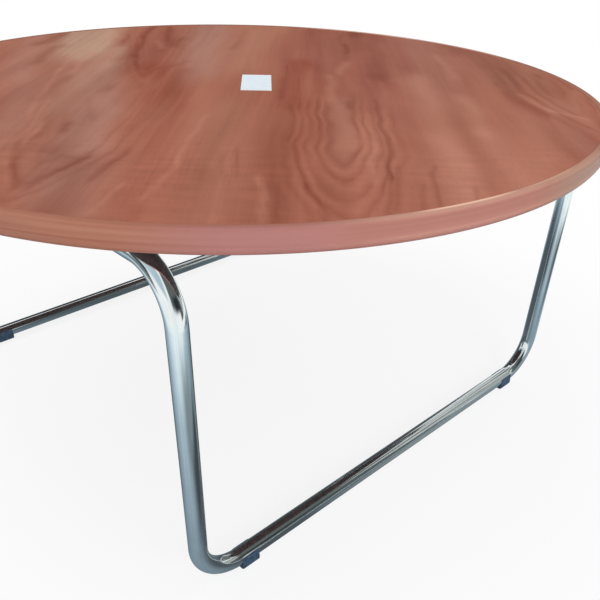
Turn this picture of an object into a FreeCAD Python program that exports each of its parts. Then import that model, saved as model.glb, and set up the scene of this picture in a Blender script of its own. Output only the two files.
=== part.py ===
import FreeCAD, Part
import os
import Sketcher
from FreeCAD import Vector

# A round coffee table: a wood-decor disc screwed to a closed base of bent chrome tube.
# Millimetres. X runs across the table, Y along the two floor bars, Z is up, and the origin is on
# the floor under the middle of the top.

PARTS_FOLDER = "parts"
FAULTS = ("Invalid", "Error")
CLOSE = 1e-6

# Which way each place lies from the middle: a leading minus turns the sign of a size
SIDES = {"right": "", "left": "-"}
ENDS = {"front": "-", "rear": ""}

# Sizes that can be set, each written once
SIZES = {
    "table_height": 420,
    "top_diameter": 900,
    "top_thickness": 24,
    "laminate_thickness": 1,
    "edging_width": 10,
    "edging_top_round": 3,
    "edging_base_round": 9.8,
    "edging_fit": 0.1,
    "tongue_length": 10,
    "tongue_thickness": 2,
    "barb_height": 0.4,
    "barb_length": 3,
    "groove_fit": 0.1,
    "groove_end_gap": 1,
    "tube_diameter": 20,
    "tube_wall": 1.5,
    "sled_setback": 137,
    "leg_setback": 131.5,
    "base_bend_radius": 54,
    "top_bend_radius": 50,
    "joint_gap": 0.3,
    "sleeve_length": 120,
    "sleeve_wall": 1.5,
    "sleeve_fit": 0.15,
    "sleeve_screw_inset": 30,
    "sleeve_screw_diameter": 4,
    "sleeve_screw_length": 5.5,
    "sleeve_screw_tip": 1,
    "sleeve_head_diameter": 7.5,
    "sleeve_head_height": 2.4,
    "plate_thickness": 3,
    "plate_length": 60,
    "plate_width": 30,
    "plate_corner_round": 5,
    "plate_setback": 113,
    "plate_hole_spacing": 40,
    "weld_leg": 6.6,
    "weld_toe": 5.2,
    "weld_length": 24,
    "weld_gap": 0.05,
    "board_screw_diameter": 4,
    "board_screw_length": 18,
    "board_screw_tip": 4,
    "board_head_diameter": 8,
    "board_head_height": 2.4,
    "screw_clearance": 0.25,
    "thread_fit": 0.05,
    "pilot_spare": 1,
    "glide_length": 24,
    "glide_inset": 50,
    "glide_sole": 3,
    "glide_wall": 1.2,
    "glide_lip_rise": 3,
    "glide_base_round": 4.5,
    "glide_end_bevel": 0.8,
    "glide_fit": 0.2,
    "peg_diameter": 5,
    "peg_reach": 4,
    "peg_fit": 0.2,
    "peg_bevel": 0.8,
    "cut_overrun": 2,
}

# Shares of a size that a rounding, a bevel, a tip or a start takes
EDGE_ROUND_SHARE = 0.98
HEAD_BEVEL_SHARE = 0.5
TIP_RADIUS_SHARE = 0.2
WELD_START_SHARE = 0.55

# Sizes and places worked out from those above, as cell formulas
DERIVED = {
    "top_radius": "top_diameter / 2",
    "underside": "table_height - top_thickness",
    "core_base": "underside + laminate_thickness",
    "core_thickness": "top_thickness - 2 * laminate_thickness",
    "core_top": "core_base + core_thickness",
    "core_middle": "core_base + core_thickness / 2",
    "edging_inner_radius": "top_radius - edging_width",
    "edging_top_cut": f"min(edging_top_round; edging_width * {EDGE_ROUND_SHARE})",
    "edging_base_cut": f"min(edging_base_round; edging_width * {EDGE_ROUND_SHARE})",
    "core_radius": "edging_inner_radius - edging_fit",
    "tongue_end_radius": "edging_inner_radius - tongue_length",
    "tongue_top": "core_middle + tongue_thickness / 2",
    "tongue_base": "core_middle - tongue_thickness / 2",
    "barb_top": "tongue_top + barb_height",
    "barb_base": "tongue_base - barb_height",
    "barb_root": "tongue_end_radius + barb_length",
    "groove_radius": "tongue_end_radius - groove_end_gap",
    "groove_mouth_radius": "core_radius + cut_overrun",
    "groove_top": "barb_top + groove_fit",
    "groove_base": "barb_base - groove_fit",
    "tube_radius": "tube_diameter / 2",
    "tube_bore_radius": "tube_radius - tube_wall",
    "sled_reach": "top_radius - sled_setback",
    "leg_reach": "top_radius - leg_setback",
    "bar_height": "glide_sole + glide_fit + tube_radius",
    "plate_base": "underside - plate_thickness",
    "crossbar_height": "plate_base - tube_radius",
    "crossbar_base": "crossbar_height - tube_radius",
    "leg_middle": "(bar_height + crossbar_height) / 2",
    "base_tangent_reach": "leg_reach - base_bend_radius",
    "base_tangent_height": "bar_height + base_bend_radius",
    "top_tangent_reach": "sled_reach - top_bend_radius",
    "top_tangent_height": "crossbar_height - top_bend_radius",
    "joint_half_gap": "joint_gap / 2",
    "sleeve_half_length": "sleeve_length / 2",
    "sleeve_radius": "tube_bore_radius - sleeve_fit",
    "sleeve_bore_radius": "sleeve_radius - sleeve_wall",
    "sleeve_screw_radius": "sleeve_screw_diameter / 2",
    "sleeve_screw_shank": "sleeve_screw_length - sleeve_screw_tip",
    "sleeve_head_radius": "sleeve_head_diameter / 2",
    "sleeve_tip_radius": f"sleeve_screw_radius * {TIP_RADIUS_SHARE}",
    "sleeve_head_cut": f"sleeve_head_height * {HEAD_BEVEL_SHARE}",
    "sleeve_hole_radius": "sleeve_screw_radius + thread_fit",
    "crossbar_hole_radius": "sleeve_screw_radius + screw_clearance",
    "plate_reach": "sled_reach - plate_setback",
    "plate_half_length": "plate_length / 2",
    "plate_half_width": "plate_width / 2",
    "plate_hole_reach": "plate_hole_spacing / 2",
    "plate_hole_radius": "board_screw_diameter / 2 + screw_clearance",
    "weld_start": f"weld_toe * {WELD_START_SHARE}",
    "weld_throat": "tube_radius - sqrt(tube_radius ^ 2 - weld_toe ^ 2) - weld_gap",
    "weld_half_length": "weld_length / 2",
    "board_screw_radius": "board_screw_diameter / 2",
    "board_screw_shank": "board_screw_length - board_screw_tip",
    "board_head_radius": "board_head_diameter / 2",
    "board_tip_radius": f"board_screw_radius * {TIP_RADIUS_SHARE}",
    "board_head_cut": f"board_head_height * {HEAD_BEVEL_SHARE}",
    "outer_screw_reach": "leg_reach + plate_hole_reach",
    "inner_screw_reach": "leg_reach - plate_hole_reach",
    "pilot_radius": "board_screw_radius + thread_fit",
    "pilot_depth": "board_screw_length - plate_thickness - laminate_thickness + pilot_spare",
    "glide_reach": "leg_reach - glide_inset - glide_length / 2",
    "glide_half_length": "glide_length / 2",
    "glide_bore_radius": "tube_radius + glide_fit",
    "glide_half_width": "glide_bore_radius + glide_wall",
    "glide_depth": "glide_bore_radius + glide_sole",
    "glide_cut_start": "glide_half_length + cut_overrun",
    "glide_cut_length": "glide_length + 2 * cut_overrun",
    "peg_radius": "peg_diameter / 2",
    "peg_length": "glide_depth - tube_bore_radius + peg_reach",
    "peg_top": "peg_length - glide_depth",
    "peg_hole_radius": "peg_radius + peg_fit",
}

document = FreeCAD.newDocument("coffee_table")
sheet = document.addObject("Spreadsheet::Sheet", "Sizes")


def fill_sheet():
    """One row a size: its name in column A and its value or formula in column B."""
    rows = {**SIZES, **{name: f"={formula}" for name, formula in DERIVED.items()}}
    for row, (name, content) in enumerate(rows.items(), start=1):
        sheet.set(f"A{row}", name)
        sheet.set(f"B{row}", str(content))
        sheet.setAlias(f"B{row}", name)
    document.recompute()


def bare(name):
    """A size's name without its sign."""
    return name.lstrip("-")


def size(name):
    """The present value of a size; a leading minus turns its sign, and "0" is nought."""
    if name == "0":
        return 0.0
    value = float(sheet.get(bare(name)))
    return -value if name.startswith("-") else value


def link(name):
    """The expression that reads a size from the sheet, with its sign."""
    return name.replace(bare(name), f"Sizes.{bare(name)}")


def new_body(label):
    body = document.addObject("PartDesign::Body", label)
    body.Label = label
    return body


def set_place(body, x="0", y="0", z="0"):
    """Moves a body from its own origin to a place given by size names."""
    for axis, name in zip("xyz", (x, y, z)):
        if name != "0":
            body.setExpression(f"Placement.Base.{axis}", link(name))


def origin_plane(body, role):
    return next(item for item in body.Origin.OriginFeatures if item.Role == role)


def new_sketch(body, name, role, lift=None):
    """A sketch on one of the body's own planes, lifted along the plane's normal.

    The normals are +Z of XY_Plane, -Y of XZ_Plane and +X of YZ_Plane.
    """
    sketch = body.newObject("Sketcher::SketchObject", name)
    sketch.AttachmentSupport = [(origin_plane(body, role), "")]
    sketch.MapMode = "FlatFace"
    if lift:
        sketch.setExpression("AttachmentOffset.Base.z", link(lift))
    return sketch


def bind(sketch, name, kind, *items):
    """A constraint whose value follows the named size."""
    index = sketch.addConstraint(Sketcher.Constraint(kind, *items, size(name)))
    sketch.setExpression(f"Constraints[{index}]", link(name))


def pin_point(sketch, item, point, across, up):
    """Fixes one point of the sketch at the named distances from its origin."""
    for kind, name, axis in (("DistanceX", across, -2), ("DistanceY", up, -1)):
        if name == "0":
            sketch.addConstraint(Sketcher.Constraint("PointOnObject", item, point, axis))
        else:
            bind(sketch, name, kind, -1, 1, item, point)


def draw_circle(sketch, radius, across="0", up="0"):
    centre = Vector(size(across), size(up), 0)
    circle = sketch.addGeometry(Part.Circle(centre, Vector(0, 0, 1), size(radius)))
    pin_point(sketch, circle, 3, across, up)
    bind(sketch, radius, "Radius", circle)


def draw_outline(sketch, corners):
    """A closed outline of straight sides through corners given as pairs of size names."""
    points = [Vector(size(across), size(up), 0) for across, up in corners]
    sides = [sketch.addGeometry(Part.LineSegment(start, end))
             for start, end in zip(points, points[1:] + points[:1])]
    for side, following in zip(sides, sides[1:] + sides[:1]):
        sketch.addConstraint(Sketcher.Constraint("Coincident", side, 2, following, 1))
    for side, (across, up) in zip(sides, corners):
        pin_point(sketch, side, 1, across, up)


def draw_bent_path(sketch, runs, centres, radius):
    """Straight runs joined by tangent bends, one centre for each bend between two runs."""
    lines = []
    for start, end in runs:
        points = [Vector(size(across), size(up), 0) for across, up in (start, end)]
        lines.append(sketch.addGeometry(Part.LineSegment(*points)))
        pin_point(sketch, lines[-1], 1, *start)
        pin_point(sketch, lines[-1], 2, *end)
    for before, after, centre, first, last in zip(lines, lines[1:], centres, runs, runs[1:]):
        middle = Vector(size(centre[0]), size(centre[1]), 0)
        leaving = Vector(size(first[1][0]), size(first[1][1]), 0) - middle
        arriving = Vector(size(last[0][0]), size(last[0][1]), 0) - middle
        ends = [(before, 2, leaving), (after, 1, arriving)]
        if leaving.cross(arriving).z < 0:
            ends.reverse()
        turns = [reach.getAngle(Vector(1, 0, 0)) * (1 if reach.y >= 0 else -1) for _, _, reach in ends]
        full = Part.Circle(middle, Vector(0, 0, 1), size(radius))
        bend = sketch.addGeometry(Part.ArcOfCircle(full, *turns))
        for point, (line, line_point, _) in enumerate(ends, start=1):
            sketch.addConstraint(Sketcher.Constraint("Coincident", bend, point, line, line_point))
        bind(sketch, radius, "Radius", bend)


def pad(body, name, sketch, length):
    feature = body.newObject("PartDesign::Pad", name)
    feature.Profile = sketch
    feature.setExpression("Length", link(length))
    return feature


def pocket(body, name, sketch, length, along_normal=False):
    """Cuts against the sketch's normal, or along it."""
    feature = body.newObject("PartDesign::Pocket", name)
    feature.Profile = sketch
    feature.Reversed = along_normal
    feature.setExpression("Length", link(length))
    return feature


def turn(body, name, kind, sketch):
    """A full turn of the sketch about its own upright axis, added or cut away."""
    feature = body.newObject(f"PartDesign::{kind}", name)
    feature.Profile = sketch
    feature.ReferenceAxis = (sketch, ["V_Axis"])
    return feature


def sweep(body, name, profile, path):
    feature = body.newObject("PartDesign::AdditivePipe", name)
    feature.Profile = profile
    feature.Spine = path
    return feature


def dress(body, name, kind, wanted, setting, value):
    """A fillet or chamfer on the edges of the body so far that the test picks."""
    document.recompute()
    base = body.Tip
    edges = [f"Edge{index}" for index, edge in enumerate(base.Shape.Edges, start=1) if wanted(edge)]
    feature = body.newObject(f"PartDesign::{kind}", name)
    feature.Base = (base, edges)
    feature.setExpression(setting, link(value))
    return feature


def is_at(value, name):
    return abs(value - size(name)) < CLOSE


def is_ring(edge, radius, height):
    """True for a level circle of the named radius at the named height."""
    curve = edge.Curve
    if not isinstance(curve, Part.Circle):
        return False
    return is_at(curve.Radius, radius) and is_at(curve.Center.z, height)


def is_straight(edge, direction):
    if not isinstance(edge.Curve, Part.Line):
        return False
    return edge.Curve.Direction.cross(direction).Length < CLOSE


# The top: a particleboard core between two laminates, with a moulding round its edge

def screw_places():
    """Where the eight board screws stand, seen from above."""
    return [(side + "plate_reach", end + row)
            for side in SIDES.values()
            for end in ENDS.values()
            for row in ("inner_screw_reach", "outer_screw_reach")]


def make_board_core():
    body = new_body("board_core")
    disc = new_sketch(body, "core_disc", "XY_Plane", "core_base")
    draw_circle(disc, "core_radius")
    pad(body, "core_slab", disc, "core_thickness")
    groove = new_sketch(body, "groove_section", "XZ_Plane")
    draw_outline(groove, [
        ("groove_radius", "groove_base"),
        ("groove_mouth_radius", "groove_base"),
        ("groove_mouth_radius", "groove_top"),
        ("groove_radius", "groove_top"),
    ])
    turn(body, "edge_groove", "Groove", groove)
    pilots = new_sketch(body, "pilot_holes", "XY_Plane", "core_base")
    for across, along in screw_places():
        draw_circle(pilots, "pilot_radius", across, along)
    pocket(body, "pilot_bores", pilots, "pilot_depth", along_normal=True)


def make_laminate(label, base, places):
    """A thin disc over one face of the core, drilled at the given places."""
    body = new_body(label)
    disc = new_sketch(body, f"{label}_disc", "XY_Plane", base)
    draw_circle(disc, "core_radius")
    for across, along in places:
        draw_circle(disc, "plate_hole_radius", across, along)
    pad(body, f"{label}_sheet", disc, "laminate_thickness")


def make_edge_moulding():
    """A ring with a rounded face and an arrow-headed tongue that grips the groove in the core."""
    body = new_body("edge_moulding")
    section = new_sketch(body, "moulding_section", "XZ_Plane")
    draw_outline(section, [
        ("edging_inner_radius", "underside"),
        ("top_radius", "underside"),
        ("top_radius", "table_height"),
        ("edging_inner_radius", "table_height"),
        ("edging_inner_radius", "tongue_top"),
        ("barb_root", "tongue_top"),
        ("barb_root", "barb_top"),
        ("tongue_end_radius", "tongue_top"),
        ("tongue_end_radius", "tongue_base"),
        ("barb_root", "barb_base"),
        ("barb_root", "tongue_base"),
        ("edging_inner_radius", "tongue_base"),
    ])
    turn(body, "moulding_ring", "Revolution", section)
    dress(body, "top_round", "Fillet",
          lambda edge: is_ring(edge, "top_radius", "table_height"), "Radius", "edging_top_cut")
    dress(body, "base_round", "Fillet",
          lambda edge: is_ring(edge, "top_radius", "underside"), "Radius", "edging_base_cut")


# The base: two bent half frames that meet over a sleeve in the middle of each crossbar

def make_half_frame(name, side):
    """One floor bar, its two legs and half of each crossbar, bent from one tube."""
    body = new_body(f"{name}_frame_tube")
    sled = side + "sled_reach"
    arm_tangent = side + "top_tangent_reach"
    arm_end = side + "joint_half_gap"

    section = new_sketch(body, f"{name}_leg_section", "XY_Plane", "leg_middle")
    draw_circle(section, "tube_radius", sled, "leg_reach")
    draw_circle(section, "tube_bore_radius", sled, "leg_reach")
    path = new_sketch(body, f"{name}_sled_path", "YZ_Plane", sled)
    runs = [
        (("leg_reach", "leg_middle"), ("leg_reach", "base_tangent_height")),
        (("base_tangent_reach", "bar_height"), ("-base_tangent_reach", "bar_height")),
        (("-leg_reach", "base_tangent_height"), ("-leg_reach", "leg_middle")),
    ]
    centres = [
        ("base_tangent_reach", "base_tangent_height"),
        ("-base_tangent_reach", "base_tangent_height"),
    ]
    draw_bent_path(path, runs, centres, "base_bend_radius")
    sweep(body, f"{name}_sled", section, path)

    section = new_sketch(body, f"{name}_arm_section", "XY_Plane", "leg_middle")
    draw_circle(section, "tube_radius", sled, "-leg_reach")
    draw_circle(section, "tube_bore_radius", sled, "-leg_reach")
    path = new_sketch(body, f"{name}_arm_path", "XZ_Plane", "leg_reach")
    runs = [
        ((sled, "leg_middle"), (sled, "top_tangent_height")),
        ((arm_tangent, "crossbar_height"), (arm_end, "crossbar_height")),
    ]
    draw_bent_path(path, runs, [(arm_tangent, "top_tangent_height")], "top_bend_radius")
    arm = sweep(body, f"{name}_front_arm", section, path)
    mirrored = body.newObject("PartDesign::Mirrored", f"{name}_rear_arm")
    mirrored.Originals = [arm]
    mirrored.MirrorPlane = (origin_plane(body, "XZ_Plane"), [""])
    body.Tip = mirrored

    pegs = new_sketch(body, f"{name}_peg_holes", "XY_Plane")
    screws = new_sketch(body, f"{name}_screw_holes", "XY_Plane", "crossbar_height")
    for end in ENDS.values():
        draw_circle(pegs, "peg_hole_radius", sled, end + "glide_reach")
        draw_circle(screws, "crossbar_hole_radius", side + "sleeve_screw_inset", end + "leg_reach")
    pocket(body, f"{name}_peg_bores", pegs, "bar_height", along_normal=True)
    pocket(body, f"{name}_screw_bores", screws, "tube_diameter")


def make_joint_sleeve(name, end):
    """A short inner tube that carries both halves of a crossbar."""
    body = new_body(f"{name}_joint_sleeve")
    along = end + "leg_reach"
    section = new_sketch(body, f"{name}_sleeve_section", "YZ_Plane", "-sleeve_half_length")
    draw_circle(section, "sleeve_radius", along, "crossbar_height")
    draw_circle(section, "sleeve_bore_radius", along, "crossbar_height")
    pad(body, f"{name}_sleeve_tube", section, "sleeve_length")
    holes = new_sketch(body, f"{name}_sleeve_holes", "XY_Plane", "crossbar_height")
    for side in SIDES.values():
        draw_circle(holes, "sleeve_hole_radius", side + "sleeve_screw_inset", along)
    pocket(body, f"{name}_sleeve_bores", holes, "tube_diameter")


def make_screw(label, family):
    """A pan-head screw that points up, with the seat of its head at its own origin."""
    body = new_body(label)
    section = new_sketch(body, f"{label}_section", "XZ_Plane")
    draw_outline(section, [
        ("0", f"-{family}_head_height"),
        (f"{family}_head_radius", f"-{family}_head_height"),
        (f"{family}_head_radius", "0"),
        (f"{family}_screw_radius", "0"),
        (f"{family}_screw_radius", f"{family}_screw_shank"),
        (f"{family}_tip_radius", f"{family}_screw_length"),
        ("0", f"{family}_screw_length"),
    ])
    turn(body, f"{label}_turned", "Revolution", section)
    dress(body, f"{label}_head_edge", "Chamfer",
          lambda edge: is_ring(edge, f"{family}_head_radius", f"-{family}_head_height"),
          "Size", f"{family}_head_cut")
    return body


def make_mounting_plate(label):
    """A drilled plate, with the weld runs that hold the crossbar on its underside."""
    body = new_body(label)
    blank = new_sketch(body, f"{label}_blank", "XY_Plane")
    draw_outline(blank, [
        ("-plate_half_width", "-plate_half_length"),
        ("plate_half_width", "-plate_half_length"),
        ("plate_half_width", "plate_half_length"),
        ("-plate_half_width", "plate_half_length"),
    ])
    for row in ("plate_hole_reach", "-plate_hole_reach"):
        draw_circle(blank, "plate_hole_radius", "0", row)
    pad(body, f"{label}_sheet", blank, "plate_thickness")
    dress(body, f"{label}_corners", "Fillet",
          lambda edge: is_straight(edge, Vector(0, 0, 1)), "Radius", "plate_corner_round")
    welds = new_sketch(body, f"{label}_weld_section", "YZ_Plane", "-weld_half_length")
    for sign in ("", "-"):
        draw_outline(welds, [
            (sign + "weld_start", "0"),
            (sign + "weld_leg", "0"),
            (sign + "weld_toe", "-weld_throat"),
        ])
    pad(body, f"{label}_welds", welds, "weld_length")
    return body


def make_glide(label):
    """A clip-on saddle under the floor bar, with its own origin on the tube's axis."""
    body = new_body(label)
    block = new_sketch(body, f"{label}_block_section", "XZ_Plane", "-glide_half_length")
    draw_outline(block, [
        ("-glide_half_width", "-glide_depth"),
        ("glide_half_width", "-glide_depth"),
        ("glide_half_width", "glide_lip_rise"),
        ("-glide_half_width", "glide_lip_rise"),
    ])
    pad(body, f"{label}_block", block, "glide_length")
    saddle = new_sketch(body, f"{label}_saddle_section", "XZ_Plane", "glide_cut_start")
    draw_circle(saddle, "glide_bore_radius")
    pocket(body, f"{label}_saddle", saddle, "glide_cut_length")
    dress(body, f"{label}_base_round", "Fillet",
          lambda edge: is_straight(edge, Vector(0, 1, 0)) and is_at(edge.Vertexes[0].Z, "-glide_depth"),
          "Radius", "glide_base_round")
    dress(body, f"{label}_end_bevel", "Chamfer",
          lambda edge: is_straight(edge, Vector(1, 0, 0)) and is_at(edge.Vertexes[0].Z, "-glide_depth"),
          "Size", "glide_end_bevel")
    peg = new_sketch(body, f"{label}_peg_section", "XY_Plane", "-glide_depth")
    draw_circle(peg, "peg_radius")
    pad(body, f"{label}_peg", peg, "peg_length")
    dress(body, f"{label}_peg_bevel", "Chamfer",
          lambda edge: is_ring(edge, "peg_radius", "peg_top"), "Size", "peg_bevel")
    return body


def make_table():
    make_board_core()
    make_laminate("top_laminate", "core_top", [])
    make_laminate("underside_laminate", "underside", screw_places())
    make_edge_moulding()
    for name, side in SIDES.items():
        make_half_frame(name, side)
    for name, end in ENDS.items():
        make_joint_sleeve(name, end)
    for end_name, end in ENDS.items():
        for side_name, side in SIDES.items():
            corner = f"{end_name}_{side_name}"
            screw = make_screw(f"{corner}_sleeve_screw", "sleeve")
            set_place(screw, side + "sleeve_screw_inset", end + "leg_reach", "crossbar_base")
            plate = make_mounting_plate(f"{corner}_mounting_plate")
            set_place(plate, side + "plate_reach", end + "leg_reach", "plate_base")
            for row in ("inner", "outer"):
                screw = make_screw(f"{corner}_{row}_board_screw", "board")
                set_place(screw, side + "plate_reach", f"{end}{row}_screw_reach", "plate_base")
            glide = make_glide(f"{corner}_glide")
            set_place(glide, side + "sled_reach", end + "glide_reach", "bar_height")


def check_document():
    """Stops on any object that failed and on any piece that is not one sound solid."""
    for item in document.Objects:
        if any(fault in item.State for fault in FAULTS):
            raise RuntimeError(f"{item.Name} failed: {item.State}")
    for body in pieces():
        shape = body.Shape
        if shape.isNull() or not shape.isValid() or len(shape.Solids) != 1:
            raise RuntimeError(f"{body.Label} is not one valid solid")


def pieces():
    return [item for item in document.Objects if item.TypeId == "PartDesign::Body"]


def write_pieces():
    os.makedirs(PARTS_FOLDER, exist_ok=True)
    for body in pieces():
        body.Shape.exportStep(os.path.join(PARTS_FOLDER, f"{body.Label}.step"))
        print(body.Label, round(body.Shape.Volume))


fill_sheet()
make_table()
document.recompute()
check_document()
write_pieces()
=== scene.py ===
import math
import bpy
import numpy as np
from mathutils import Matrix, Vector


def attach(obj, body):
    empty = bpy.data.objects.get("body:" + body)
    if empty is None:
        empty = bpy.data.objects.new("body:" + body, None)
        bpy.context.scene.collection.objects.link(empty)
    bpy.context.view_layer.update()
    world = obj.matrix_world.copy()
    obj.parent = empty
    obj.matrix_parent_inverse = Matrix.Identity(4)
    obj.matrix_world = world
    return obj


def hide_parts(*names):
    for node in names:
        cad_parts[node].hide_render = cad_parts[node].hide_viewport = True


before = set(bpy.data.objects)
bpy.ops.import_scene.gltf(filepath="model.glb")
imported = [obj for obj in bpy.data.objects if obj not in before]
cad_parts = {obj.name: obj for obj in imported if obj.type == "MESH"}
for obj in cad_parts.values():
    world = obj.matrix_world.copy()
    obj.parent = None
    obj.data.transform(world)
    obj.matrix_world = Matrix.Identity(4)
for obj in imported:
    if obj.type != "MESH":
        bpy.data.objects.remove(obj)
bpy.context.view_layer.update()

# A round coffee table: a wood-decor disc on a base of two bent chrome half frames.
# Sizes are in millimetres until a mesh is made. X runs across, Y along the floor bars, Z is up.

MM = 0.001
SIDES = {"right": 1, "left": -1}
ENDS = {"front": -1, "rear": 1}

# Sizes shared with the solids; the band stays inside the solid ring's facets
TABLE_HEIGHT = 420.0
UNDERSIDE = 396.0
BAND_RADIUS = 449.85
BAND_INNER_RADIUS = 440.0
BAND_TOP_ROUND = 3.0
BAND_BASE_ROUND = 9.8
SHEET_RADIUS = 439.9
SHEET_BASE = 419.0
TUBE_RADIUS = 10.0
TUBE_BORE_RADIUS = 8.5
SLED_REACH = 313.0
LEG_REACH = 318.5
BAR_HEIGHT = 13.2
CROSSBAR_HEIGHT = 383.0
PLATE_BASE = 393.0
BASE_BEND_RADIUS = 54.0
TOP_BEND_RADIUS = 50.0
HALF_JOINT_GAP = 0.15
PLATE_REACH = 200.0
BOARD_SCREW_ROW = 20.0
JOINT_SCREW_REACH = 30.0
GLIDE_REACH = 256.5
GLIDE_HALF_LENGTH = 12.0
GLIDE_HALF_WIDTH = 11.4
GLIDE_BORE_RADIUS = 10.2
GLIDE_DEPTH = 13.2
GLIDE_LIP_RISE = 4.6
GLIDE_LIP_WALL = 0.6
GLIDE_BASE_ROUND = 4.5
GLIDE_END_ROUND = 1.2
GLIDE_END_FLARE = 0.25

# On the moulding: the darker line, and how far round its profile painted shade begins and turns to
# a painted brown shadow underneath
BAND_LINE_HEIGHT = 406.6
BAND_LINE_WIDTH = 0.8
BAND_SHADE_GIRTH = 31.5
BAND_SHADOW_GIRTH = 33.5

# Head radius and length of each kind of screw, and the head height and shank of both
BOARD_SCREW = (4.0, 18.0)
JOINT_SCREW = (3.75, 5.5)
SCREW_HEAD_HEIGHT = 2.4
SCREW_SHANK_RADIUS = 2.0

# Shares of the head: its straight brim, and the reach, arm width and depth of its recess
SCREW_BRIM = 0.35
RECESS_REACH = 0.55
RECESS_ARM = 0.16
RECESS_DEPTH = 0.62

# The paper label lies on the sheet, and both stay under the height of the solids
SHEET_TOP = TABLE_HEIGHT - 0.15
SHEET_EDGE_ROUND = 0.3
BAND_LIP_ROUND = 0.4
LABEL_THICKNESS = 0.12
LABEL_GAP = 0.01
LABEL_CENTRE = (7.6, 26.8)
LABEL_SIZE = (84.0, 38.0)
LABEL_TURN = math.radians(-41.0)

# Points round each turned piece, rows of the sheet and stations of a bend
SHEET_TURNS = 620
SHEET_ROWS = 146
BAND_TURNS = 360
TUBE_TURNS = 112
BEND_STATIONS = 61
SCREW_TURNS = 64


# Meshes: grids of points worked out as whole arrays

def grid_faces(rows, columns, wrap_rows=False, wrap_columns=False):
    """The quads of a grid of points numbered row by row; a wrapped direction closes on itself."""
    index = np.arange(rows * columns).reshape(rows, columns)
    if wrap_rows:
        index = np.vstack([index, index[:1]])
    if wrap_columns:
        index = np.hstack([index, index[:, :1]])
    corners = (index[:-1, :-1], index[:-1, 1:], index[1:, 1:], index[1:, :-1])
    return np.stack(corners, axis=-1).reshape(-1, 4).tolist()


def fan_faces(ring, pole, forward=True):
    """Triangles that close a ring of point numbers onto one pole."""
    following = np.roll(ring, -1)
    first, second = (ring, following) if forward else (following, ring)
    return np.stack([first, second, np.full_like(ring, pole)], axis=-1).tolist()


def make_piece(name, points, faces, material, replaced=(), sharp_angle=40.0):
    """Makes a smooth-shaded mesh from points in millimetres and has it ride on the table."""
    mesh = bpy.data.meshes.new(name)
    mesh.from_pydata((np.asarray(points).reshape(-1, 3) * MM).tolist(), [], faces)
    mesh.polygons.foreach_set("use_smooth", np.ones(len(mesh.polygons), dtype=bool))
    mesh.set_sharp_from_angle(angle=math.radians(sharp_angle))
    mesh.materials.append(material)
    piece = bpy.data.objects.new(name, mesh)
    bpy.context.scene.collection.objects.link(piece)
    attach(piece, "root")
    if replaced:
        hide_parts(*replaced)
    return piece


def add_attribute(piece, name, values):
    """Stores one number, or one triple, for each point of a piece."""
    values = np.asarray(values, dtype=np.float32)
    kind, field = ("FLOAT", "value") if values.ndim == 1 else ("FLOAT_VECTOR", "vector")
    layer = piece.data.attributes.new(name, kind, "POINT")
    layer.data.foreach_set(field, values.ravel())


def arc(centre, radius, start, end, count):
    """Points on a circular arc in a plane, from one angle in degrees to another."""
    angle = np.radians(np.linspace(start, end, count))
    return np.stack([centre[0] + radius * np.cos(angle), centre[1] + radius * np.sin(angle)], -1)


def turned(profile, count):
    """Carries a profile of (radius, height) points round the Z axis: (r cos a, r sin a, h)."""
    angle = np.linspace(0.0, 2.0 * math.pi, count, endpoint=False)
    radius, height = np.asarray(profile)[:, :1], np.asarray(profile)[:, 1:]
    height = np.broadcast_to(height, (len(profile), count))
    return np.stack([radius * np.cos(angle), radius * np.sin(angle), height], axis=-1)


# Materials: one helper for every node, and colours written as sRGB hex

def colour(code):
    """A linear colour from an sRGB hex value."""
    levels = [int(code[i:i + 2], 16) / 255.0 for i in (1, 3, 5)]
    linear = [p / 12.92 if p <= 0.04045 else ((p + 0.055) / 1.055) ** 2.4 for p in levels]
    return (*linear, 1.0)


def add(tree, kind, inputs=None, **settings):
    """Adds one node: its settings, then what feeds or fills each input."""
    node = tree.nodes.new(f"ShaderNode{kind}")
    for name, value in settings.items():
        setattr(node, name, value)
    for name, value in (inputs or {}).items():
        if isinstance(value, bpy.types.NodeSocket):
            tree.links.new(value, node.inputs[name])
        else:
            node.inputs[name].default_value = value
    return node


def new_material(name, coordinates="Object"):
    """A material, its node tree, and the coordinates on the piece that its pattern follows."""
    material = bpy.data.materials.new(name)
    material.use_nodes = True
    tree = material.node_tree
    tree.nodes.clear()
    return material, tree, add(tree, "TexCoord").outputs[coordinates]


def closed(material, shader):
    """Feeds a shader to the material's output."""
    add(material.node_tree, "OutputMaterial", {"Surface": shader})
    return material


def principled(material, inputs):
    """Ends a material in a Principled shader."""
    return closed(material, add(material.node_tree, "BsdfPrincipled", inputs).outputs[0])


def mapping(tree, vector, **inputs):
    """A vector scaled, turned and shifted."""
    return add(tree, "Mapping", {"Vector": vector, **inputs}).outputs[0]


def parts(tree, vector):
    """A vector's three parts, by the names X, Y and Z."""
    return add(tree, "SeparateXYZ", {0: vector}).outputs


def stored(tree, name):
    """The vector that a mesh keeps for each point under a name."""
    return add(tree, "Attribute", attribute_name=name).outputs["Vector"]


def noise(tree, vector, scale, detail=2.0, roughness=0.5):
    """Noise from 0 to 1 in cells of 1 / scale."""
    return add(tree, "TexNoise", {"Vector": vector, "Scale": scale, "Detail": detail,
                                  "Roughness": roughness}).outputs["Fac"]


def reckon(tree, operation, *values, clamp=False):
    """One sum of numbers."""
    return add(tree, "Math", dict(enumerate(values)), operation=operation,
               use_clamp=clamp).outputs[0]


def remap(tree, value, source, target, **settings):
    """A number carried from one range to another, and held within that."""
    return add(tree, "MapRange", {0: value, 1: source[0], 2: source[1],
                                  3: target[0], 4: target[1]}, **settings).outputs[0]


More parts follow.
